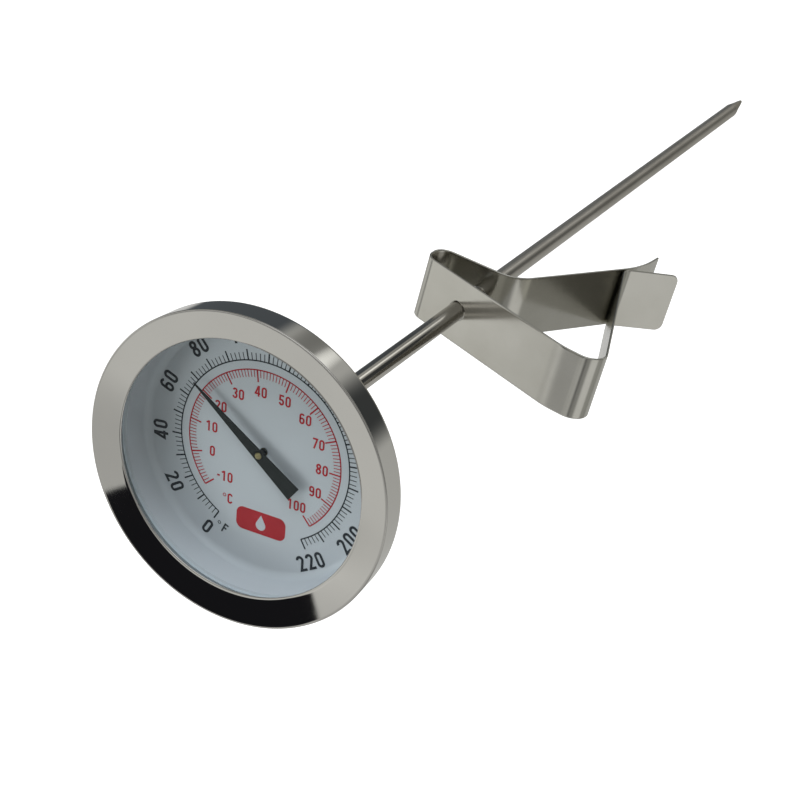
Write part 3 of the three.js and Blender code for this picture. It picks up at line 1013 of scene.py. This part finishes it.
def softbox(name, direction, distance, size, watts, colour=(1, 1, 1)):
    """A square lamp in a direction from the dial, given in the dial's frame. Reflections don't see it."""
    way = Matrix.Rotation(DIAL_TURN, 3, "Z") @ Vector(direction).normalized()
    data = bpy.data.lights.new(name, "AREA")
    data.size = size
    data.energy = watts
    data.color = colour
    lamp = linked(name, data)
    lamp.location = DIAL_CENTRE + way * distance
    lamp.rotation_mode = "QUATERNION"
    lamp.rotation_quaternion = (-way).to_track_quat("-Z", "Y")
    lamp.visible_glossy = False


# What the polished steel reflects: a dim tent, lighter below than round the horizon, with cards and lamps.
# Each card: direction in the dial's frame, radius and softness in degrees, colour.
TENT_UP = (0.30, 0.30, 0.29)
TENT_BAND = (0.20, 0.20, 0.19)
TENT_DOWN = (0.50, 0.50, 0.48)
BAND_BOTTOM = (-0.62, -0.45)  # heights between which one tone turns into the next
BAND_TOP = (-0.02, 0.2)
CARDS = (
    ((-0.644, -0.372, 0.669), 45.0, 14.0, (0.66, 0.66, 0.64)),
    ((-0.630, -0.340, 0.700), 5.0, 5.0, (0.77, 0.77, 0.75)),
    ((-0.735, -0.375, 0.565), 4.0, 5.0, (0.53, 0.53, 0.51)),
    ((-0.850, -0.270, 0.450), 5.0, 6.0, (0.78, 0.78, 0.75)),
    ((-0.662, -0.710, 0.242), 13.3, 1.2, (0.25, 0.25, 0.24)),
    ((-0.443, -0.428, 0.788), 8.0, 7.0, (0.45, 0.45, 0.44)),
    ((0.780, -0.570, 0.260), 20.0, 8.0, (0.72, 0.72, 0.70)),
    ((-0.940, -0.290, -0.170), 16.0, 8.0, (0.65, 0.65, 0.63)),
    ((0, 0, -1), 22.0, 7.0, (0.26, 0.25, 0.215)),
    ((-0.34, -0.06, -0.94), 8.0, 5.0, (1.1, 1.1, 1.08)),
    ((0.52, 0.27, -0.81), 13.0, 6.0, (0.05, 0.053, 0.054)),
    ((-0.52, 0.25, -0.815), 23.0, 4.0, (0.085, 0.095, 0.105)),
    ((-0.40, 0.14, -0.905), 3.0, 5.0, (0.45, 0.45, 0.43)),
    ((-0.03, 0.45, -0.890), 5.0, 5.0, (0.20, 0.20, 0.19)),
    ((-0.49, -0.33, -0.81), 12.0, 4.0, (0.62, 0.62, 0.61)),
    ((0.148, 0.560, -0.815), 3.0, 4.0, (1.5, 1.5, 1.45)),
    ((0.150, 0.960, 0.200), 26.0, 9.0, (0.95, 0.95, 0.95)),
    ((-0.140, -0.430, 0.890), 6.0, 6.0, (0.50, 0.50, 0.485)),
    ((0.270, -0.460, 0.845), 5.0, 3.0, (0.13, 0.13, 0.13)),
    ((-0.950, -0.260, 0.190), 5.0, 5.0, (0.32, 0.32, 0.31)),
    ((0.770, -0.560, -0.300), 12.0, 8.0, (0.37, 0.37, 0.35)),
)
# A long plain black card overhead, between two straight edges.
OVERHEAD_ACROSS = (-0.040, 0.938, 0.344)
OVERHEAD_ALONG = ((-0.40, 0.12, 0.91), 37.0, 1.0)
OVERHEAD_EDGES = ((-0.006, 0.006), (0.26, 0.24))
OVERHEAD_END = (0.736, 0.746)  # height at which the card ends
OVERHEAD_TONE = (0.01, 0.01, 0.012)


def tent():
    """The world: tones by direction for the steel to reflect, and a plain pale backdrop for the camera."""
    world = bpy.data.worlds.new("tent")
    world.use_nodes = True
    sky = Tree(world.node_tree)
    direction = sky.add("ShaderNodeTexCoord").outputs["Generated"]
    height = sky.add("ShaderNodeSeparateXYZ", {0: direction}).outputs["Z"]
    to_row = Matrix.Rotation(DIAL_TURN, 3, "Z")

    def share(value, low, high):
        """From 0 at the first value to 1 at the second."""
        inputs = {"Value": value, "From Min": low, "From Max": high}
        return sky.add("ShaderNodeMapRange", inputs, interpolation_type="SMOOTHSTEP").outputs["Result"]

    def along(way):
        way = to_row @ Vector(way).normalized()
        return sky.calculate_vector("DOT_PRODUCT", direction, way).outputs["Value"]

    def disc(way, radius, soft):
        edge = [math.cos(math.radians(a)) for a in (radius + soft, max(radius - soft, 0))]
        return share(along(way), *edge)

    colour = sky.mix(share(height, *BAND_BOTTOM), TENT_DOWN, TENT_BAND)
    colour = sky.mix(share(height, *BAND_TOP), colour, TENT_UP)
    for way, radius, soft, tone in CARDS:
        colour = sky.mix(disc(way, radius, soft), colour, tone)

    inside = sky.calculate("MULTIPLY", disc(*OVERHEAD_ALONG), share(height, *OVERHEAD_END))
    for edge in OVERHEAD_EDGES:
        inside = sky.calculate("MULTIPLY", inside, share(along(OVERHEAD_ACROSS), *edge))
    colour = sky.mix(inside, colour, OVERHEAD_TONE)

    seen = sky.add("ShaderNodeLightPath").outputs["Is Camera Ray"]
    sky.feed(sky.tree.nodes["Background"].inputs["Color"], sky.mix(seen, colour, BACKDROP))
    return world


def studio():
    scene = bpy.context.scene
    scene.view_settings.view_transform = "Standard"
    scene.world = tent()
    floor()
    softbox("key", (-0.62, -0.27, 0.74), distance=0.9, size=0.42, watts=2.1)
    softbox("side", (-0.25, 0.93, 0.36), distance=0.9, size=0.5, watts=4.4, colour=(0.90, 0.94, 1.0))


dress_kept_nodes()
camera()
studio()
bezel()
lens_pane()
dial_face()
case_shell()
fahrenheit_scale()
celsius_scale()
emblem()
pointer_blade()
pointer_collar()
pointer_cap()
stem_shaft()
stem_point()
hex_nut()
clip_pieces()
